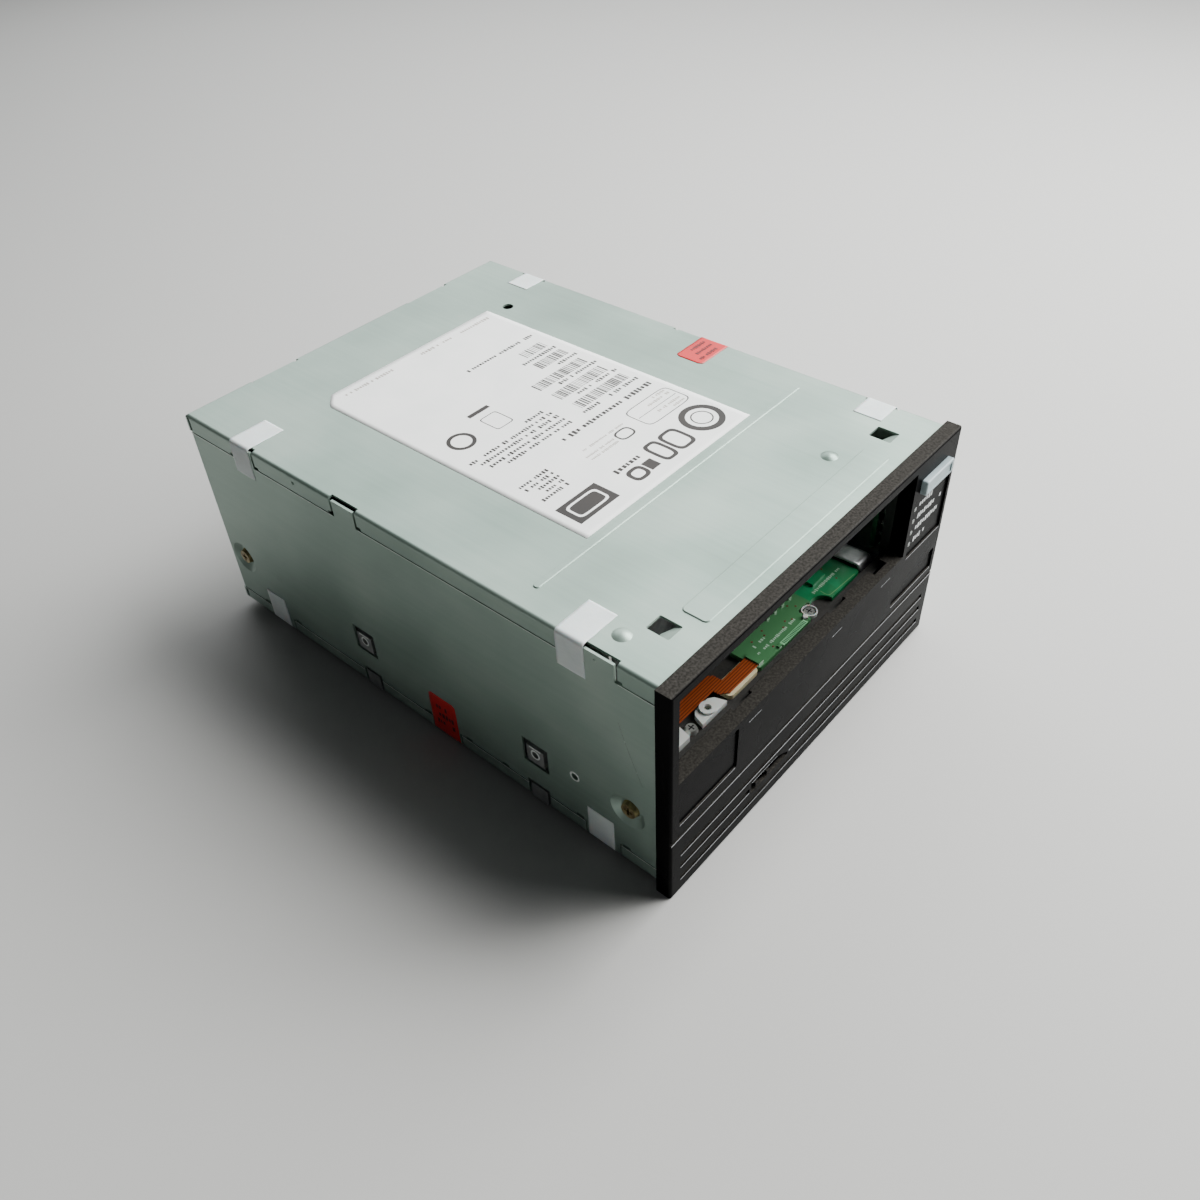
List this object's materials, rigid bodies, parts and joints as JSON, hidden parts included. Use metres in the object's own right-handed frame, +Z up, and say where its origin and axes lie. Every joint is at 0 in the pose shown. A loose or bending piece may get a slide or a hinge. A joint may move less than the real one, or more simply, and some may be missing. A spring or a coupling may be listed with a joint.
{
  "type": "data tape drive",
  "caption": "Full-height 5.25-inch bay tape drive: folded steel enclosure, black front bezel with cartridge slot, loader, reel drives, tape path and rear sockets.",
  "frame": {"origin": "Centre of the four mounting holes in the underside of the enclosure.", "axes": "+X to the right as the front is faced, +Y from the front bezel to the rear wall, +Z up."},
  "size_m": [0.1484, 0.2105, 0.0864],
  "materials": {
    "zinc_sheet": "zinc-plated sheet steel, satin",
    "black_moulding": "fine-textured moulded ABS",
    "button_moulding": "smooth moulded ABS",
    "clear_moulding": "clear acrylic",
    "green_laminate": "glass-epoxy laminate with green solder mask",
    "component_black": "moulded epoxy packages",
    "cast_aluminium": "die cast, bare",
    "plated_screw": "yellow-passivated zinc",
    "ground_steel": "ground",
    "bright_steel": "nickel-plated sheet steel",
    "gear_acetal": "moulded acetal",
    "spindle_moulding": "glass-filled moulding",
    "roller_alloy": "turned",
    "head_ceramic": "lapped ceramic",
    "copper_wire": "enamelled copper",
    "amber_film": "polyimide film over copper",
    "beige_moulding": "moulded",
    "white_moulding": "moulded acetal",
    "gold_contact": "gold flash",
    "connector_black": "moulded"
  },
  "bodies": {
    "chassis": {"top_cover": "zinc_sheet", "side_wrap": "zinc_sheet", "bottom_cover": "zinc_sheet", "front_bezel": "black_moulding", "slot_guide": "black_moulding", "front_shelf": "black_moulding", "fan_frame": "black_moulding", "light_pipes": "clear_moulding", "panel_board": "green_laminate", "front_board": "green_laminate", "main_board": "green_laminate", "panel_parts": "component_black", "board_chips": "component_black", "front_board_parts": "component_black", "jumper_block": "component_black", "deck_casting": "cast_aluminium", "supply_motor": "cast_aluminium", "take_up_motor": "cast_aluminium", "head_base": "cast_aluminium", "shell_screws": "plated_screw", "frame_screws": "plated_screw", "front_screws": "plated_screw", "board_screws": "plated_screw", "roller_posts": "ground_steel", "arm_pin": "ground_steel", "head_magnet": "ground_steel", "load_motor": "ground_steel", "loader_frame": "bright_steel", "motor_cradle": "bright_steel", "fan_bracket": "bright_steel", "slot_bracket": "bright_steel", "front_flex": "amber_film", "flex_stiffener": "beige_moulding", "guide_clamp": "white_moulding", "corner_wedge": "white_moulding", "power_connector": "white_moulding", "power_pins": "gold_contact", "data_connector": "connector_black"},
    "button": {"eject_button": "button_moulding"},
    "cam_left": {"cam_plate_left": "bright_steel"},
    "cam_right": {"cam_plate_right": "bright_steel"},
    "carriage": {"cartridge_carriage": "bright_steel"},
    "loader_shaft": {"cross_shaft": "ground_steel", "rack_gears": "gear_acetal", "load_gear": "gear_acetal"},
    "motor_shaft": {"motor_pinion": "gear_acetal"},
    "spindle": {"supply_spindle": "spindle_moulding"},
    "take_up": {"take_up_reel": "spindle_moulding", "take_up_flange": "spindle_moulding"},
    "roller_1": {"guide_roller_1": "roller_alloy"},
    "roller_2": {"guide_roller_2": "roller_alloy"},
    "roller_3": {"guide_roller_3": "roller_alloy"},
    "roller_4": {"guide_roller_4": "roller_alloy"},
    "head": {"head_block": "head_ceramic", "head_coil": "copper_wire"},
    "threader": {"threader_arm": "roller_alloy"},
    "fan": {"fan_rotor": "black_moulding"}
  },
  "joints": [
    {"name": "button_press", "type": "slide", "parent": "chassis", "child": "button", "axis": [0, 1, 0], "range_m": [0, 0.0012], "stiffness_N_per_m": 400, "springref_m": -0.0015},
    {"name": "carriage_lower", "type": "slide", "parent": "chassis", "child": "carriage", "axis": [0, 0, 1], "range_m": [-0.005, 0]},
    {"name": "cam_left_slide", "type": "slide", "parent": "chassis", "child": "cam_left", "axis": [0, 1, 0], "range_m": [0, 0.014]},
    {"name": "cam_right_slide", "type": "slide", "parent": "chassis", "child": "cam_right", "axis": [0, 1, 0], "range_m": [0, 0.014]},
    {"name": "loader_shaft_spin", "type": "hinge", "parent": "chassis", "child": "loader_shaft", "pos_m": [0, 0.00997, 0.04], "axis": [1, 0, 0], "range_deg": [-126, 0]},
    {"name": "motor_shaft_spin", "type": "hinge", "parent": "chassis", "child": "motor_shaft", "pos_m": [0.05, -0.00762, 0.04], "axis": [1, 0, 0], "range_deg": [0, 336]},
    {"name": "spindle_spin", "type": "hinge", "parent": "chassis", "child": "spindle", "pos_m": [-0.0115, -0.01702, 0.04], "axis": [0, 0, 1], "continuous": true},
    {"name": "take_up_spin", "type": "hinge", "parent": "chassis", "child": "take_up", "pos_m": [-0.013, 0.07197, 0.05], "axis": [0, 0, 1], "continuous": true},
    {"name": "roller_1_spin", "type": "hinge", "parent": "chassis", "child": "roller_1", "pos_m": [0.05853, 0.03097, 0.0535], "axis": [0, 0, 1], "continuous": true},
    {"name": "roller_2_spin", "type": "hinge", "parent": "chassis", "child": "roller_2", "pos_m": [0.06352, 0.04297, 0.0535], "axis": [0, 0, 1], "continuous": true},
    {"name": "roller_3_spin", "type": "hinge", "parent": "chassis", "child": "roller_3", "pos_m": [0.06352, 0.07337, 0.0535], "axis": [0, 0, 1], "continuous": true},
    {"name": "roller_4_spin", "type": "hinge", "parent": "chassis", "child": "roller_4", "pos_m": [0.05203, 0.08297, 0.0535], "axis": [0, 0, 1], "continuous": true},
    {"name": "head_slide", "type": "slide", "parent": "chassis", "child": "head", "axis": [0, 0, 1], "range_m": [-0.003, 0.003]},
    {"name": "threader_swing", "type": "hinge", "parent": "chassis", "child": "threader", "pos_m": [0.02403, 0.04598, 0.0656], "axis": [0, 0, 1], "range_deg": [0, 120]},
    {"name": "fan_spin", "type": "hinge", "parent": "chassis", "child": "fan", "pos_m": [0.04702, 0.10798, 0.052], "axis": [0, 1, 0], "continuous": true}
  ],
  "couplings": [
    {"joint": "cam_left_slide", "follows": "carriage_lower", "ratio": -2.8},
    {"joint": "cam_right_slide", "follows": "carriage_lower", "ratio": -2.8},
    {"joint": "loader_shaft_spin", "follows": "carriage_lower", "rad_per_m": 437.5},
    {"joint": "motor_shaft_spin", "follows": "carriage_lower", "rad_per_m": -1166.7}
  ]
}
